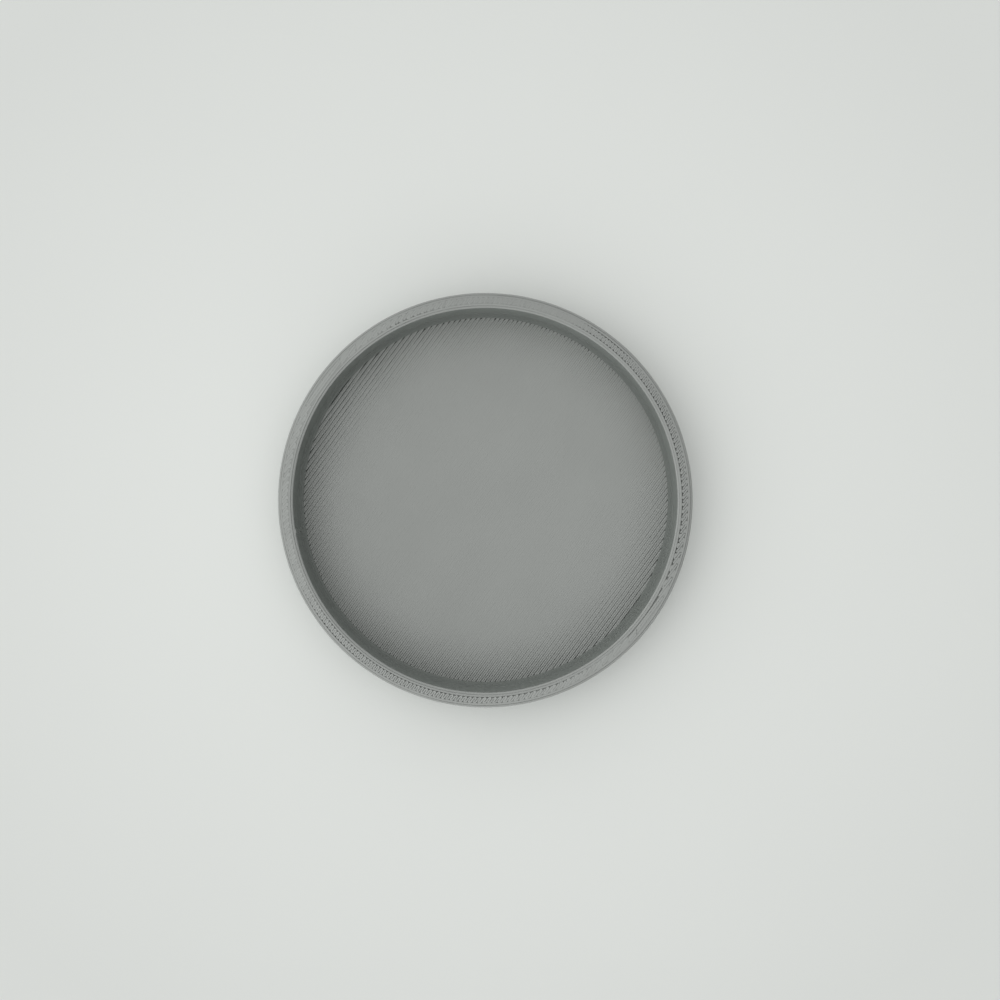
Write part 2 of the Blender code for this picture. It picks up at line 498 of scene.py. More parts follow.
def loops_piece(name, middles, widths, edge, side, opening):
    """Ring of two loops that sink toward the rim's edge, with a groove that opens on one side."""
    radii, lost = pair_section(middles, widths)
    angle = angles_with_seams(LOOP_STEPS)
    sway = LOOP_SWAY * wander(angle, LOOP_RATES)[0]
    radius = radii[None, :] + sway[:, None]
    opened = EVEN_OPENING + SIDE_OPENING * np.cos(angle - math.radians(side))
    opened = opened + UNEVEN_OPENING * wander(angle, LOOP_RATES)[0]
    groove = opening * np.clip(opened, 0, 1)
    near_edge = np.clip(1 - abs(radii - edge) / EDGE_REACH, 0, 1) ** EDGE_SHAPE
    fall = EDGE_FALL * (1 + EXTRA_FALL * toward(angle, side, FALL_SPREAD))
    beyond_fill = FILL_FALL if edge == DISH_RADIUS else 0
    height = RIM_Z - beyond_fill - lost[None, :] - fall[:, None] * near_edge[None, :]
    height = height - FLOW_LIFT * (1 + wander(angle, LOOP_RATES)[0][:, None])
    height = np.minimum(height, RIM_Z)
    height[:, BETWEEN] -= groove
    height[:, BETWEEN - 1] -= BESIDE_GROOVE * groove
    height[:, BETWEEN + 1] -= BESIDE_GROOVE * groove
    if middles is INNER_MIDDLES:
        radius[:, :NUB_ROWS] -= SEAM_NUB * nub(angle, SEAM_ANGLE, WELL_RADIUS)[:, None]
    else:
        radius[:, -NUB_ROWS:] += OUTER_SEAM_NUB * nub(angle, OUTER_SEAM_ANGLE, DISH_RADIUS)[:, None]
    radius = np.clip(radius, 0, DISH_RADIUS)
    return open_ring_piece(name, angle, radius, height, LINE_SIDE / 2, RIM_Z - LOOPS_HOLLOW)


# %% Lay the loops
LEFT = 190
RIGHT = 0
INNER_OPENING = 0.13 * MM
OUTER_OPENING = 0.17 * MM

inner_widths = (OUTSIDE_LINE, INSIDE_LINE)
outer_widths = (INSIDE_LINE, OUTSIDE_LINE)
inner_loops = loops_piece(
    "rim_inner_lines", INNER_MIDDLES, inner_widths, WELL_RADIUS, LEFT, INNER_OPENING
)
outer_loops = loops_piece(
    "rim_outer_lines", OUTER_MIDDLES, outer_widths, DISH_RADIUS, RIGHT, OUTER_OPENING
)
print("loops lie from", in_mm(INNER_MIDDLES[0]), "to", in_mm(OUTER_MIDDLES[1]), "mm off the axis")

# %% [markdown]
# ## The zigzag between the loops
# The band left between the loops is filled with the same slanting lines as the floor. Each line
# crosses the band, turns along the edge of a loop, and comes back. Where two turns meet the loop
# they leave a tiny hole, the row of dark dots in the photograph. How far a turn presses against
# the loop decides how open its hole is, and that is most toward the right and the lower left.
#
# Modelling each line as a bent tube would make hundreds of pieces that cross each other. Instead
# the band is one skin: at each of its points the distance to the nearest line or turn is
# computed, and the height follows from the line's section.

# %% Distance to the nearest line of the zigzag
FILL_INNER = INNER_MIDDLES[1] + spacing(INSIDE_LINE) / 2
FILL_OUTER = OUTER_MIDDLES[0] - spacing(INSIDE_LINE) / 2
INNER_PRESS = 0.06 * MM
OUTER_PRESS = 0.14 * MM
LEAST_PRESS = 0.1
INNER_BOW = 0.15 * MM
OUTER_BOW = 0.08 * MM
RIM_SHIFT = 0.003 * MM
PRESS_SPREAD = 0.030 * MM
MOST_LINES = 300
FAR = 1.0
INNER_LEAST = 0.05
INNER_HOLES = ((1.0, 20, 46), (0.35, 257, 48), (0.15, 112, 12), (0.25, -33, 13))
OUTER_HOLES = ((1.0, 52, 10), (0.8, 220, 15), (0.2, 250, 30))
press_change = PRESS_SPREAD * rng.uniform(-1, 1, MOST_LINES)


def line_middle(number):
    """Place across the field of the line with that number."""
    return FIRST_TOP_LINE + number * FILL_PITCH + RIM_SHIFT * (-1.0) ** number


def zigzag_distance(radius, angle):
    """Distance from points of the band to the zigzag's path, and the nearest line's number."""
    along = radius * np.cos(angle - FILL_SLANT)
    over = radius * np.sin(angle - FILL_SLANT)
    start = FILL_INNER + TOP_LINE / 2 - INNER_PRESS
    pressed = np.maximum(1 - share_toward(angle, OUTER_HOLES), LEAST_PRESS)
    end = FILL_OUTER - TOP_LINE / 2 + OUTER_PRESS * pressed
    best = np.full(radius.shape, FAR)
    nearest = np.zeros(radius.shape, int)
    for step in (-1, 0, 1):
        number = np.round((over - FIRST_TOP_LINE) / FILL_PITCH).astype(int) + step
        middle = line_middle(number)
        change = press_change[number]
        from_start = np.sqrt(np.maximum((start + INNER_BOW - change) ** 2 - middle**2, 0))
        to_end = np.sqrt(np.maximum((end - OUTER_BOW + change) ** 2 - middle**2, 0))
        beside = abs(along) - np.clip(abs(along), from_start, to_end)
        distance = np.where(abs(middle) < end, np.hypot(beside, over - middle), FAR)
        nearest = np.where(distance < best, number, nearest)
        best = np.minimum(distance, best)
    for edge, bow, meets in ((end, -OUTER_BOW, 0), (start, INNER_BOW, 1)):
        place = (over * edge / radius - FIRST_TOP_LINE) / FILL_PITCH
        before = np.floor(place).astype(int)
        outermost = np.maximum(abs(line_middle(before)), abs(line_middle(before + 1)))
        turns_here = ((before + 1) % 2 == meets) & (outermost < edge)
        turn = edge + bow * (2 * (place - before) - 1) ** 2
        best = np.minimum(np.where(turns_here, abs(radius - turn), FAR), best)
    return best, nearest


# %% Lay the zigzag
FILL_STEPS = 4100
FILL_ROWS = 22
TUCKED = 0.05 * MM
LINE_LIFT = 0.035 * MM
FILL_DEPTH = 1.5
FILL_HOLLOW = 3 * LAYER
THIN_FILL = 0.20
THIN_SIDES = ((0.9, 12, 52), (0.95, 248, 50))
SCAR_ANGLE = math.radians(-40.2)
SCAR_LEAN = math.radians(1.2)
SCAR_STARTS = 37.15 * MM
SCAR_ENDS = 37.90 * MM
SCAR_WIDTH = 0.09 * MM
SCAR_DEPTH = 0.14 * MM

fill_angle = np.arange(FILL_STEPS) * math.tau / FILL_STEPS
fill_radius = np.linspace(FILL_INNER - TUCKED, FILL_OUTER + TUCKED, FILL_ROWS)
radius_grid, angle_grid = np.meshgrid(fill_radius, fill_angle)
distance, nearest = zigzag_distance(radius_grid, angle_grid)
lift = rng.uniform(-1, 1, nearest.max() - nearest.min() + 1)[nearest - nearest.min()]
past_groove = np.maximum(distance - FILL_PITCH / 2, 0)
band_middle = (FILL_INNER + FILL_OUTER) / 2
inner_open = INNER_LEAST + share_toward(angle_grid, INNER_HOLES)
outer_open = share_toward(angle_grid, OUTER_HOLES)
openness = np.where(radius_grid < band_middle, inner_open, outer_open)
distance = distance + (openness - 1) * past_groove
fill_width = TOP_LINE * (1 - THIN_FILL * share_toward(angle_grid, THIN_SIDES))
fill_lost = np.minimum(FILL_DEPTH * drop(distance, fill_width), FILL_HOLLOW - LAYER / 2)
along_scar = np.clip((radius_grid - SCAR_STARTS) / (SCAR_ENDS - SCAR_STARTS), 0, 1)
beside_scar = (angle_grid - math.tau - SCAR_ANGLE + SCAR_LEAN * along_scar) * radius_grid
in_scar = np.clip(1 - (beside_scar / SCAR_WIDTH) ** 2, 0, 1) * (along_scar > 0) * (along_scar < 1)
fill_lost = np.maximum(fill_lost, SCAR_DEPTH * in_scar)
across_band = np.clip((radius_grid - FILL_INNER) / (FILL_OUTER - FILL_INNER), 0, 1)
fill_height = RIM_Z - fill_lost + LINE_LIFT * np.minimum(lift, 0) - FILL_FALL * across_band
rim_fill = open_ring_piece(
    "rim_zigzag_lines", fill_angle, radius_grid, fill_height, 0, RIM_Z - FILL_HOLLOW
)
print("share of the band that is hole:", round(float((distance > TOP_LINE / 2).mean()), 3))

# %% [markdown]
# ## The wall
# From the side a print is a stack of loops. Each layer bulges a little and meets the next in a
# groove. The rounded foot of the well and the cut base edge come out as steps, because a layer
# has one outline, taken at one height. One ring carries it all: up the outside, down the well.

# %% Section of the wall
LAYER_SHARES = (0.0, 0.2, 0.5, 0.8, 0.97)
LAYER_BULGE = 0.010 * MM
BULGE_SHAPE = 2.5


def valley(share):
    """How far the side stands back at a share of the layer's height."""
    return LAYER_BULGE * abs(2 * share - 1) ** BULGE_SHAPE


SLICE_AT = 0.05
wall_layers = round((RIM_Z - UNDERSIDE_Z) / LAYER) - 1
floor_layers = round((FLOOR_Z - UNDERSIDE_Z) / LAYER)
outside = []
for layer in range(wall_layers):
    cut = max(BASE_CHAMFER - (layer + 0.5) * LAYER, 0)
    for share in LAYER_SHARES:
        height = UNDERSIDE_Z + (layer + share) * LAYER
        outside.append((DISH_RADIUS - cut - valley(share), height, layer))
inside = []
for layer in reversed(range(floor_layers, wall_layers)):
    above_floor = (layer + SLICE_AT - floor_layers) * LAYER
    short = max(WELL_FILLET - above_floor, 0)
    step = WELL_FILLET - math.sqrt(WELL_FILLET**2 - short**2)
    for share in reversed(LAYER_SHARES):
        height = UNDERSIDE_Z + (layer + share) * LAYER
        inside.append((WELL_RADIUS - step + valley(share), height, layer))
print(wall_layers, "layers up the outside,", wall_layers - floor_layers, "down the well")

# %% [markdown]
# Under the tray the same ring ends in two loops that were squashed flat on the printer's bed.
# Between them and the foot of the well the section runs hidden inside the floor.

# %% Stack the wall
WALL_STEPS = 240
WALL_SWAY = 0.007 * MM
BED_GROOVE = 0.03 * MM
RIM_TUCK = 0.03 * MM
NUB_SCATTER = 0.15 * MM
NUB_VARIES = 0.2
wall_top = UNDERSIDE_Z + wall_layers * LAYER + RIM_TUCK

bed_edge = outside[0][0]
bed_loops = [bed_edge - (turn + 1) * BED_PITCH for turn in range(2)]
hidden = [
    (inside[-1][0], FLOOR_Z - LINE_SIDE, floor_layers),
    (WELL_RADIUS, FLOOR_Z - 2 * LAYER, floor_layers),
    (bed_loops[1] - LINE_SIDE, UNDERSIDE_Z + LAYER, 0),
]
bed = [
    (bed_loops[1], UNDERSIDE_Z + BED_GROOVE, 0),
    (bed_loops[1] + LINE_SIDE / 2, UNDERSIDE_Z, 0),
    (bed_loops[0] - LINE_SIDE / 2, UNDERSIDE_Z, 0),
    (bed_loops[0], UNDERSIDE_Z + BED_GROOVE, 0),
    (bed_loops[0] + LINE_SIDE / 2, UNDERSIDE_Z, 0),
    (bed_edge - LINE_SIDE / 2, UNDERSIDE_Z, 0),
]
top = [
    (DISH_RADIUS - LAYER, wall_top, wall_layers - 1),
    (FILL_OUTER + 2 * TUCKED, wall_top, wall_layers - 1),
    (FILL_OUTER, RIM_Z - FILL_HOLLOW, wall_layers - 1),
    (FILL_INNER, RIM_Z - FILL_HOLLOW, wall_layers - 1),
    (FILL_INNER - 2 * TUCKED, wall_top, wall_layers - 1),
    (WELL_RADIUS + LAYER, wall_top, wall_layers - 1),
]
section = bed + outside[1:] + top + inside + hidden
section_radius, section_height, section_layer = (np.array(column) for column in zip(*section))
section_layer = section_layer.astype(int)

wall_angle = angles_with_seams(WALL_STEPS)
sway = WALL_SWAY * wander(wall_angle, LOOP_RATES, np.arange(wall_layers + 1))[section_layer].T
wall_radius = section_radius[None, :] + sway
seams = ((OUTER_SEAM_ANGLE, OUTER_SEAM_NUB, outside), (SEAM_ANGLE, -SEAM_NUB, inside))
for place, size, side in seams:
    scatter = rng.normal(0, NUB_SCATTER, wall_layers + 1)[section_layer] / DISH_RADIUS
    change = rng.uniform(-1, 1, wall_layers + 1)[section_layer]
    size_here = size * (1 - NUB_VARIES + NUB_VARIES * change)
    member = np.isin(section_radius, [radius for radius, _, _ in side])
    bump = nub(wall_angle[:, None], place + scatter[None, :], WELL_RADIUS)
    wall_radius = wall_radius + bump * np.where(member, size_here, 0)[None, :]
wall_radius = np.minimum(wall_radius, DISH_RADIUS)
wall_height = np.broadcast_to(section_height[None, :], wall_radius.shape)
wall = ring_piece("wall_layers", wall_angle, wall_radius, wall_height)

# %% [markdown]
# ## The underside
# The first layer was pressed onto the bed, so its lines are wide and flat, with fine grooves
# between them, and run square to the floor's. The four pockets for the feet are cut out with a
# Boolean, which is the simplest way to put a round hole through a field of straight lines.

# %% Lay the first layer
BED_SLANT = FILL_SLANT + math.pi / 2
BED_SKIN = 0.3 * MM
BED_DEPTH = 0.75
BED_SHIFT = 0.008 * MM
BED_UNEVEN = 0.5
FIRST_BED_LINE = 0.11 * MM
CLEAR = 0.02 * MM
BED_RADIUS = bed_loops[1] - CLEAR

number, share, across = field_rows(BED_PITCH, BED_LINE, FIRST_BED_LINE, LAST_LINE * BED_RADIUS)
line = number - number.min()
along = along_rows(across, BED_RADIUS)
shift = BED_SHIFT * (1 + BED_UNEVEN * wander(along, FLOW_RATES[:2], line // 2))
over, lost = shape_rows(number, share, BED_PITCH, BED_LINE, FIRST_BED_LINE, shift)
height = UNDERSIDE_Z + BED_DEPTH * lost
first_layer = field_piece(
    "first_layer_lines", across, along, over, height, BED_SLANT, UNDERSIDE_Z + BED_SKIN
)

# %% Cut the pockets out of the first layer
POCKET_LOOPS = 2
POCKET_STEPS = 96
CUT_RADIUS = POCKET_RADIUS + POCKET_LOOPS * BED_PITCH - CLEAR

cutter_shape = bmesh.new()
for x, y in foot_centres:
    made = bmesh.ops.create_cone(
        cutter_shape,
        cap_ends=True,
        segments=POCKET_STEPS,
        radius1=CUT_RADIUS,
        radius2=CUT_RADIUS,
        depth=4 * BED_SKIN,
    )
    bmesh.ops.translate(cutter_shape, verts=made["verts"], vec=(x, y, UNDERSIDE_Z))
cutter = add_object("pocket_cutter", mesh_from(cutter_shape, "pocket_cutter"))

cut = first_layer.modifiers.new("pockets", "BOOLEAN")
cut.operation = "DIFFERENCE"
cut.solver = "EXACT"
cut.object = cutter
evaluated = first_layer.evaluated_get(bpy.context.evaluated_depsgraph_get())
cut_mesh = bpy.data.meshes.new_from_object(evaluated)
first_layer.modifiers.clear()
first_layer.data = cut_mesh
cut_mesh.name = first_layer.name
bpy.data.objects.remove(cutter)
print("first layer with pockets has", len(cut_mesh.polygons), "faces")

# %% [markdown]
# Each pocket is a small cup: two loops on the bed round its mouth, four layers up its side, and
# a flat roof that carries the foot's adhesive.

# %% Build the pockets
ROOF_SKIN = 0.2 * MM
pocket_layers = round((POCKET_ROOF_Z - UNDERSIDE_Z) / LAYER)

pocket_profile = [(0, POCKET_ROOF_Z)]
for layer in reversed(range(pocket_layers)):
    for share in reversed(LAYER_SHARES):
        height = UNDERSIDE_Z + (layer + share) * LAYER
        pocket_profile.append((POCKET_RADIUS + valley(share), height))
pocket_profile[-1] = (POCKET_RADIUS + LINE_SIDE / 2, UNDERSIDE_Z)
for turn in range(POCKET_LOOPS):
    loop_end = POCKET_RADIUS + (turn + 1) * BED_PITCH
    pocket_profile.append((loop_end - LINE_SIDE / 2, UNDERSIDE_Z))
    pocket_profile.append((loop_end, UNDERSIDE_Z + BED_GROOVE))
    pocket_profile.append((loop_end + LINE_SIDE / 2, UNDERSIDE_Z))
pocket_profile[-1] = (loop_end, UNDERSIDE_Z + LAYER)
pocket_profile += [(loop_end, POCKET_ROOF_Z + ROOF_SKIN), (0, POCKET_ROOF_Z + ROOF_SKIN)]
pockets = []
for number, centre in enumerate(foot_centres):
    cup = turned_piece(f"pocket_{number + 1}", pocket_profile, POCKET_STEPS, centre)
    pockets.append(cup)
print(pocket_layers, "layers up each pocket's side")

# %% [markdown]
# ## The feet
# The feet are stock rubber studs that come on a sheet. Each was cast upside down in an open
# mould, so its side leans in, its lower edge is round, and the face that stands on the table has
# a shallow dish with the mark of the filling point. A film of adhesive holds it in its pocket.


# %% Profile of a foot
def arc(centre_r, centre_z, radius, first_degrees, last_degrees, steps):
    """Points of an arc as (distance from the axis, height)."""
    turn = np.radians(np.linspace(first_degrees, last_degrees, steps + 1))
    return [(centre_r + radius * math.cos(a), centre_z + radius * math.sin(a)) for a in turn]


FOOT_TAPER = 0.5 * MM
FOOT_EDGE = 0.5 * MM
FOOT_LIP = 0.12 * MM
FACE_DISH = 0.06 * MM
GATE_RADIUS = 0.55 * MM
GATE_DEPTH = 0.10 * MM
GATE_SHARES = ((0, 0.7), (0.6, 1), (0.95, 0.8), (1.05, 0))
FACE_SHARES = ((0.62, 0.75), (0.80, 0.15), (0.86, 0))
FOOT_STEPS = 96

bottom_radius = FOOT_RADIUS - FOOT_TAPER
flat_radius = bottom_radius - FOOT_EDGE
foot_profile = [
    *((across * GATE_RADIUS, FACE_DISH + up * GATE_DEPTH) for across, up in GATE_SHARES),
    *((across * flat_radius, up * FACE_DISH) for across, up in FACE_SHARES),
    *arc(flat_radius, FOOT_EDGE, FOOT_EDGE, -90, 6, 7),
    (FOOT_RADIUS - FOOT_LIP, FOOT_TOP_Z - 2.5 * FOOT_LIP),
    *arc(FOOT_RADIUS - FOOT_LIP, FOOT_TOP_Z - FOOT_LIP, FOOT_LIP, -60, 90, 6),
    (0, FOOT_TOP_Z),
]

# %% Make the feet and their films
FILM_RADIUS = 0.96 * FOOT_RADIUS
FILM_EDGE = 0.05 * MM
FILM_BULGE = 0.03 * MM

film_profile = [
    (0, FOOT_TOP_Z - TINY),
    (FILM_RADIUS - FILM_EDGE, FOOT_TOP_Z - TINY),
    (FILM_RADIUS, FOOT_TOP_Z + FILM_EDGE),
    (FILM_RADIUS + FILM_BULGE, (FOOT_TOP_Z + POCKET_ROOF_Z) / 2),
    (FILM_RADIUS, POCKET_ROOF_Z - FILM_EDGE),
    (FILM_RADIUS - FILM_EDGE, POCKET_ROOF_Z + TINY),
    (0, POCKET_ROOF_Z + TINY),
]
feet = []
films = []
for name, centre in zip(foot_names, foot_centres):
    feet.append(turned_piece(name + "_stud", foot_profile, FOOT_STEPS, centre))
    films.append(turned_piece(name + "_film", film_profile, FOOT_STEPS, centre))
print(len(feet), "feet stand at z =", in_mm(min(z for _, z in foot_profile)))

# %% [markdown]
# ## Shared effects for the materials
# Two effects are used by more than one finish, so each is a node group, built once. The first
# drifts a colour a little lighter and darker, as pigment does along a filament. The second is a
# fine grain that gives a bump height and a roughness, so that a highlight breaks up.


# %% Helpers that build with nodes
def new_group(name, inputs, outputs):
    """Node group with named sockets, given as name and kind."""
    group = bpy.data.node_groups.new(name, "ShaderNodeTree")
    for way, sockets in (("INPUT", inputs), ("OUTPUT", outputs)):
        for title, kind in sockets.items():
            group.interface.new_socket(name=title, in_out=way, socket_type=kind)
    return group, group.nodes.new("NodeGroupInput"), group.nodes.new("NodeGroupOutput")


def fill_inputs(tree, node, inputs):
    """Give a node's inputs plain values, or link them where the value is a socket."""
    for title, value in inputs.items():
        if isinstance(value, bpy.types.NodeSocket):
            tree.links.new(value, node.inputs[title])
        else:
            node.inputs[title].default_value = value


def add_node(tree, kind, inputs, operation=None):
    """Add a node of that kind with its inputs filled."""
    node = tree.nodes.new(kind)
    if operation:
        node.operation = operation
    fill_inputs(tree, node, inputs)
    return node


def object_place(tree):
    """Place on the object, as a socket."""
    return tree.nodes.new("ShaderNodeTexCoord").outputs["Object"]


def math_node(tree, operation, first, second):
    """Output of a Math node of two sockets or numbers."""
    return add_node(tree, "ShaderNodeMath", {0: first, 1: second}, operation).outputs[0]


def noise_node(tree, scale, detail):
    """Output of a noise that lies still on the object; its scale is per metre."""
    inputs = {"Vector": object_place(tree), "Scale": scale, "Detail": detail}
    return add_node(tree, "ShaderNodeTexNoise", inputs).outputs["Fac"]


def swing_round(tree, noise, amount, middle):
    """A noise turned into a swing of that amount round a middle value."""
    centred = math_node(tree, "SUBTRACT", noise, 0.5)
    swing = math_node(tree, "MULTIPLY", centred, amount)
    return math_node(tree, "ADD", swing, middle)


# %% Pigment drift
FLOAT = "NodeSocketFloat"
COLOUR = "NodeSocketColor"
DRIFT_DETAIL = 3.0

drift_group, given, result = new_group(
    "pigment drift", {"Colour": COLOUR, "Amount": FLOAT, "Scale": FLOAT}, {"Colour": COLOUR}
)
broad = noise_node(drift_group, given.outputs["Scale"], DRIFT_DETAIL)
value = swing_round(drift_group, broad, given.outputs["Amount"], 1.0)
shade_inputs = {"Value": value, "Color": given.outputs["Colour"]}
shade = add_node(drift_group, "ShaderNodeHueSaturation", shade_inputs)
fill_inputs(drift_group, result, {"Colour": shade.outputs["Color"]})
print("group", drift_group.name, "has", len(drift_group.nodes), "nodes")

# %% Fine grain
GRAIN_DETAIL = 2.0
PATCH_DETAIL = 3.0
PATCH_SCALE = 0.12

grain_group, given, result = new_group(
    "fine grain",
    {"Scale": FLOAT, "Roughness": FLOAT, "Spread": FLOAT},
    {"Height": FLOAT, "Roughness": FLOAT},
)
grain = noise_node(grain_group, given.outputs["Scale"], GRAIN_DETAIL)
patch_scale = math_node(grain_group, "MULTIPLY", given.outputs["Scale"], PATCH_SCALE)
patches = noise_node(grain_group, patch_scale, PATCH_DETAIL)
rough = swing_round(grain_group, patches, given.outputs["Spread"], given.outputs["Roughness"])
fill_inputs(grain_group, result, {"Height": grain, "Roughness": rough})
print("group", grain_group.name, "has", len(grain_group.nodes), "nodes")

# %% [markdown]
# ## The finishes
# The plastic is satin: its lines catch a soft light, and it has no clear highlight. Seen from
# above, the walls look darker and a touch greener than the rest, so they get a grey of their
# own, which is painted shade. The rubber is nearly black and dull, and the adhesive film is a
# milky grey. All of them use the two groups, each with its own values.


# %% Helpers that make a finish
def place_group(tree, group, inputs):
    """Place a shared group in a material with its own values."""
    node = tree.nodes.new("ShaderNodeGroup")
    node.node_tree = group
    fill_inputs(tree, node, inputs)
    return node


def finish(name, colour, drift, drift_scale, roughness, spread, grain_scale, bump_height, ior):
    """Non-metal finish from the two shared groups; returns the material."""
    material = bpy.data.materials.new(name)
    material.use_nodes = True
    material.diffuse_color = (*colour, 1)
    tree = material.node_tree
    pigment = {"Colour": (*colour, 1), "Amount": drift, "Scale": drift_scale}
    tint = place_group(tree, drift_group, pigment)
    tooth = {"Scale": grain_scale, "Roughness": roughness, "Spread": spread}
    grain = place_group(tree, grain_group, tooth)
    height = {"Strength": 1.0, "Distance": bump_height, "Height": grain.outputs["Height"]}
    bump = add_node(tree, "ShaderNodeBump", height)
    look = {
        "Base Color": tint.outputs["Colour"],
        "Roughness": grain.outputs["Roughness"],
        "Normal": bump.outputs["Normal"],
        "IOR": ior,
    }
    fill_inputs(tree, tree.nodes["Principled BSDF"], look)
    return material


# %% Plastic, rubber and adhesive film
GREY = (0.275, 0.287, 0.275)
# The walls' grey is the same plastic with painted shade: darker and a touch greener.
PAINTED_SHADE_SIDE_GREY = (0.174, 0.189, 0.177)
BLACK = (0.030, 0.031, 0.032)
MILKY = (0.42, 0.41, 0.38)
# Drift and its scale, roughness and its spread, grain scale, height of the bump, IOR
PRINTED = (0.10, 90, 0.46, 0.12, 5200, 0.004 * MM, 1.46)
SIDES = (0.10, 90, 0.42, 0.12, 5200, 0.004 * MM, 1.46)
RUBBER = (0.30, 260, 0.72, 0.20, 3800, 0.010 * MM, 1.50)
FILM = (0.12, 400, 0.40, 0.15, 2500, 0.008 * MM, 1.47)

plastic = finish("printed_plastic", GREY, *PRINTED)
sides = finish("printed_sides_painted_shade", PAINTED_SHADE_SIDE_GREY, *SIDES)
rubber = finish("stud_rubber", BLACK, *RUBBER)
film = finish("adhesive_film", MILKY, *FILM)
print("finishes:", plastic.name, sides.name, rubber.name, film.name)

# %% [markdown]
# The rim is paler toward the lower left, on the side of the softbox, most on the crests of its
# lines, and darker on the opposite side. That is painted light: the rim's fill and its outer loops
# get the same plastic with a painted highlight that grows toward that side and painted shade
# opposite, and one more painted highlight that only the crests there get.


# %% Helpers that shade a finish by place
def vector_node(tree, operation, first, second=(1, 1, 1)):
    """Outputs of a Vector Math node of a socket and a plain vector."""
    return add_node(tree, "ShaderNodeVectorMath", {0: first, 1: second}, operation).outputs


def split(tree, vector):
    """Outputs X, Y and Z of a vector."""
    return add_node(tree, "ShaderNodeSeparateXYZ", {"Vector": vector}).outputs


def share_between(tree, value, low, high, at_low=0.0, at_high=1.0):
    """Number that goes from at_low to at_high while a socket's value goes from low to high."""
    ends = {"From Min": low, "From Max": high, "To Min": at_low, "To Max": at_high}
    return add_node(tree, "ShaderNodeMapRange", {"Value": value, **ends}).outputs["Result"]


def shade_by(tree, amount):
    """Put the finish's colour through one more node, brighter or darker by a socket's amount."""
    base = tree.nodes["Principled BSDF"].inputs["Base Color"]
    inputs = {"Value": amount, "Color": base.links[0].from_socket}
    shade = add_node(tree, "ShaderNodeHueSaturation", inputs)
    tree.links.new(shade.outputs["Color"], base)


# %% Painted highlight and shade on the rim
PAINTED_LIGHT_SIDE = math.radians(225)
CREST_HIGHLIGHT_DEPTH = 0.06 * MM


def sheen_painted_plastic(name, change, crest_highlight_share):
    """Painted sheen: plastic paler by a share toward the light, darker opposite, paler on crests.
    """
    material = finish(name, GREY, *PRINTED)
    tree = material.node_tree
    place = object_place(tree)
    way = (math.cos(PAINTED_LIGHT_SIDE), math.sin(PAINTED_LIGHT_SIDE), 0)
    to_side = vector_node(tree, "DOT_PRODUCT", place, way)["Value"]
    lit_side_share = share_between(tree, to_side, -DISH_RADIUS, DISH_RADIUS)
    on_crest = share_between(tree, split(tree, place)["Z"], RIM_Z - CREST_HIGHLIGHT_DEPTH, RIM_Z)
    broad = math_node(tree, "MULTIPLY", lit_side_share, 2 * change)
    evenly = math_node(tree, "ADD", broad, 1 - change)
    crest_highlight_mask = math_node(tree, "MULTIPLY", lit_side_share, on_crest)
    crests = math_node(tree, "MULTIPLY", crest_highlight_mask, crest_highlight_share)
    shade_by(tree, math_node(tree, "ADD", evenly, crests))
    return material


# Painted highlight and shade: the fill and outer loops are paler toward the lower left.
sheen_painted_fill = sheen_painted_plastic("printed_rim_fill_painted_sheen", change=0.08, crest_highlight_share=0.13)
sheen_painted_edge = sheen_painted_plastic("printed_rim_edge_painted_sheen", change=0.10, crest_highlight_share=0.03)
print("painted sheen finishes:", sheen_painted_fill.name, sheen_painted_edge.name)

# %% [markdown]
# ## Put the pieces on the body
# Each printed piece stands for the dish of the imported model, and each stud with its film for one
# foot. The tray has no moving part, so everything rides on the one body.

# %% Ride, replace and finish
printed = [floor_lines, inner_loops, outer_loops, rim_fill, wall, first_layer, *pockets]
# The wall's finish carries painted shade. The rim's fill and outer loops carry a painted highlight
# and shade.
own_finish = {wall: sides, rim_fill: sheen_painted_fill, outer_loops: sheen_painted_edge}
for piece in printed:
    piece.data.materials.clear()
    piece.data.materials.append(own_finish.get(piece, plastic))
    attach(piece, "root")
    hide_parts("dish")
for name, stud, pad in zip(foot_names, feet, films):
    stud.data.materials.append(rubber)
    pad.data.materials.append(film)
    for piece in (stud, pad):
        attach(piece, "root")
        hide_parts(name)
print(len(printed), "printed pieces,", len(feet), "studs and", len(films), "films")

# %% [markdown]
# ## The table
# The tray stands on a white sheet. The sheet is a plain stage floor with a faint tooth, large
# enough to reach the edge of every view. Away from the tray its white gets slowly darker, as in
# the corners of the photograph: a falloff of the light, painted into the sheet's colour as shade.

# %% Sheet under the tray
SHEET_SIZE = 6.0
SHEET_WHITE = (0.716, 0.738, 0.714)
EVEN_OUT_TO = 0.045
PAINTED_FALLOFF_FROM = 0.125
PAINTED_FALLOFF_SHADE = 0.90
PAPER = (0.012, 30, 0.85, 0.1, 2500, 0.006 * MM, 1.50)
PAPER_SHEEN = 0.1

sheet_shape = bmesh.new()
bmesh.ops.create_grid(sheet_shape, x_segments=1, y_segments=1, size=SHEET_SIZE / 2)
sheet = add_object("white_sheet", mesh_from(sheet_shape, "white_sheet"))
paper = finish("white_paper", SHEET_WHITE, *PAPER)
tree = paper.node_tree
tree.nodes["Principled BSDF"].inputs["Specular IOR Level"].default_value = PAPER_SHEEN
from_middle = vector_node(tree, "LENGTH", object_place(tree))["Value"]
# Painted shade: the sheet's white darkens away from the tray.
shade_by(tree, share_between(tree, from_middle, EVEN_OUT_TO, PAINTED_FALLOFF_FROM, 1.0, PAINTED_FALLOFF_SHADE))
sheet.data.materials.append(paper)
print("sheet is", SHEET_SIZE, "m wide")

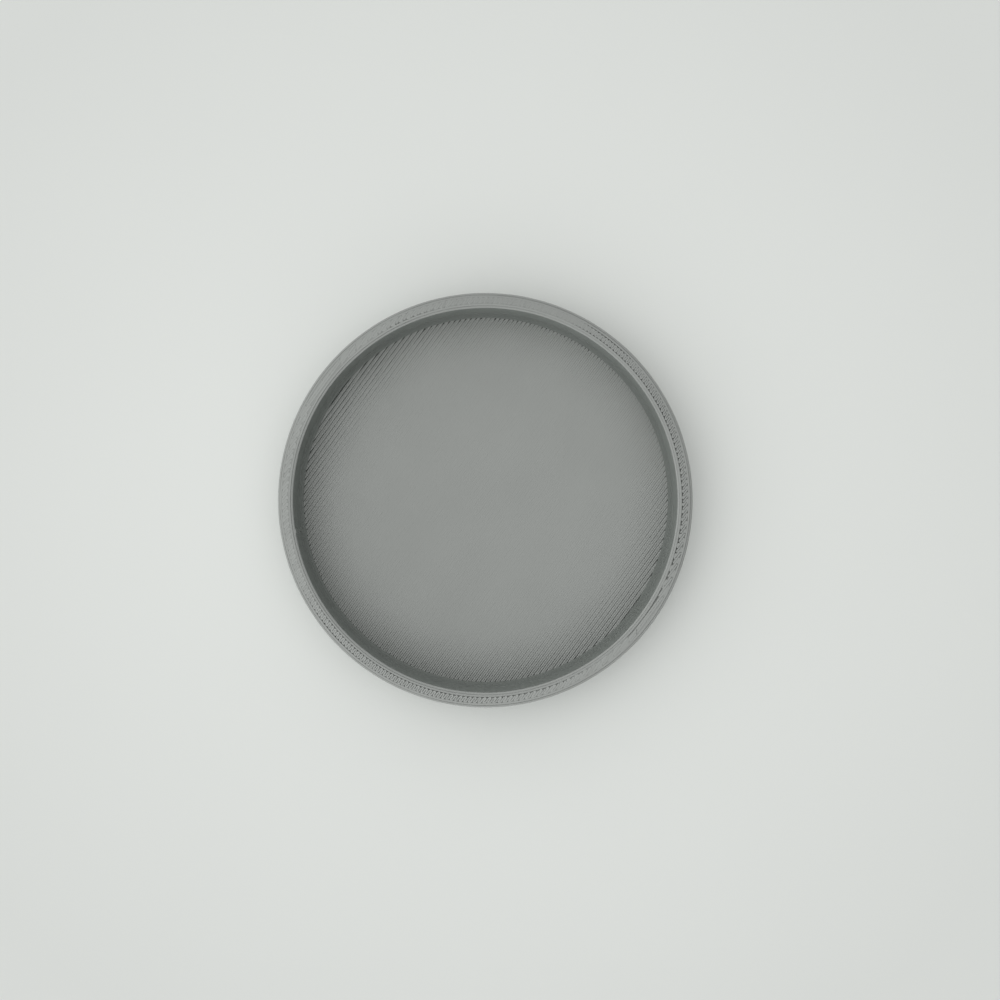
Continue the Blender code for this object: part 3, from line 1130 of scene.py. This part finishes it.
# %% [markdown]
# ## The light
# The shade round the tray tells where the photograph's light came from. The ground beside the
# left wall is nearly as bright as open ground, and the ground beside the right wall is a third
# darker, so almost no low light comes from the right and the most comes from the left. Overhead
# it is nearly even. A room of four soft quarters gives that, with one wide softbox at the left.
# Its level is set so that open ground shows its colour as written.

# %% Softbox
SOFTBOX_WIDTH = 1.6
SOFTBOX_HEIGHT = 0.6
SOFTBOX_BRIGHTNESS = 0.50
BRIGHT_SIDE = math.radians(183)
SOFTBOX_ELEVATION = math.radians(56)

softbox_data = bpy.data.lights.new("left_softbox", "AREA")
softbox_data.shape = "RECTANGLE"
softbox_data.size = SOFTBOX_WIDTH
softbox_data.size_y = SOFTBOX_HEIGHT
softbox_data.energy = SOFTBOX_BRIGHTNESS * math.pi * SOFTBOX_WIDTH * SOFTBOX_HEIGHT
softbox = add_object("left_softbox", softbox_data)
level_part = math.cos(SOFTBOX_ELEVATION)
softbox.location = (
    level_part * math.cos(BRIGHT_SIDE),
    level_part * math.sin(BRIGHT_SIDE),
    math.sin(SOFTBOX_ELEVATION),
)
softbox.rotation_euler = softbox.location.to_track_quat("Z", "Y").to_euler()
softbox.visible_camera = False
print("softbox is", round(softbox.location.length, 2), "m away")

# %% [markdown]
# The world has two parts. Surfaces are lit by four quarters that fade into one another, each
# with its own brightness at a few elevations, given in degrees. The camera and mirror-like rays
# see a plain pale backdrop instead, so low views have a clean background and it adds no light.

# %% World
SKY_LEVEL = 0.99
RAMP_TOP = 2.0
QUARTERS = {
    "left": ((0, 1.90), (21, 1.46), (35, 1.08), (49, 1.05), (64, 1.00), (84, 1.08)),
    "right": ((0, 0.15), (21, 0.10), (35, 0.24), (49, 0.72), (64, 0.84), (84, 1.08)),
    "up": ((0, 1.85), (21, 1.42), (35, 0.98), (49, 1.04), (64, 1.04), (84, 1.08)),
    "down": ((0, 1.95), (21, 1.58), (35, 0.92), (49, 0.68), (64, 0.68), (84, 1.08)),
}

world = bpy.data.worlds.new("soft_room")
bpy.context.scene.world = world
world.use_nodes = True
tree = world.node_tree
direction = tree.nodes.new("ShaderNodeTexCoord").outputs["Generated"]


def quarter_light(height, facing, stops):
    """Light of one quarter: a ramp over height times how squarely a direction faces it."""
    node = add_node(tree, "ShaderNodeValToRGB", {"Fac": height})
    ramp = node.color_ramp
    while len(ramp.elements) < len(stops):
        ramp.elements.new(0.5)
    for element, (elevation, brightness) in zip(ramp.elements, stops):
        element.position = math.sin(math.radians(elevation))
        element.color = (*([brightness / RAMP_TOP] * 3), 1)
    facing = math_node(tree, "MAXIMUM", facing, 0.0)
    share = math_node(tree, "MULTIPLY", facing, facing)
    return math_node(tree, "MULTIPLY", node.outputs["Color"], share)


level_way = vector_node(tree, "MULTIPLY", direction, (1, 1, 0))["Vector"]
compass = split(tree, vector_node(tree, "NORMALIZE", level_way)["Vector"])
facing_side = {
    "right": compass["X"],
    "left": math_node(tree, "MULTIPLY", compass["X"], -1.0),
    "up": compass["Y"],
    "down": math_node(tree, "MULTIPLY", compass["Y"], -1.0),
}
height = split(tree, direction)["Z"]
total = 0.0
for side, stops in QUARTERS.items():
    total = math_node(tree, "ADD", quarter_light(height, facing_side[side], stops), total)
strength = math_node(tree, "MULTIPLY", total, RAMP_TOP * SKY_LEVEL)
light = tree.nodes["Background"]
fill_inputs(tree, light, {"Color": (1, 1, 1, 1), "Strength": strength})

backdrop = add_node(tree, "ShaderNodeBackground", {"Color": (*SHEET_WHITE, 1)})
rays = tree.nodes.new("ShaderNodeLightPath").outputs
seen = math_node(tree, "MAXIMUM", rays["Is Camera Ray"], rays["Is Glossy Ray"])
seen = math_node(tree, "MAXIMUM", seen, rays["Is Transmission Ray"])
parts = {"Fac": seen, 1: light.outputs["Background"], 2: backdrop.outputs["Background"]}
choice = add_node(tree, "ShaderNodeMixShader", parts)
fill_inputs(tree, tree.nodes["World Output"], {"Surface": choice.outputs["Shader"]})
bpy.context.scene.view_settings.view_transform = "Standard"
print("world has", len(tree.nodes), "nodes")
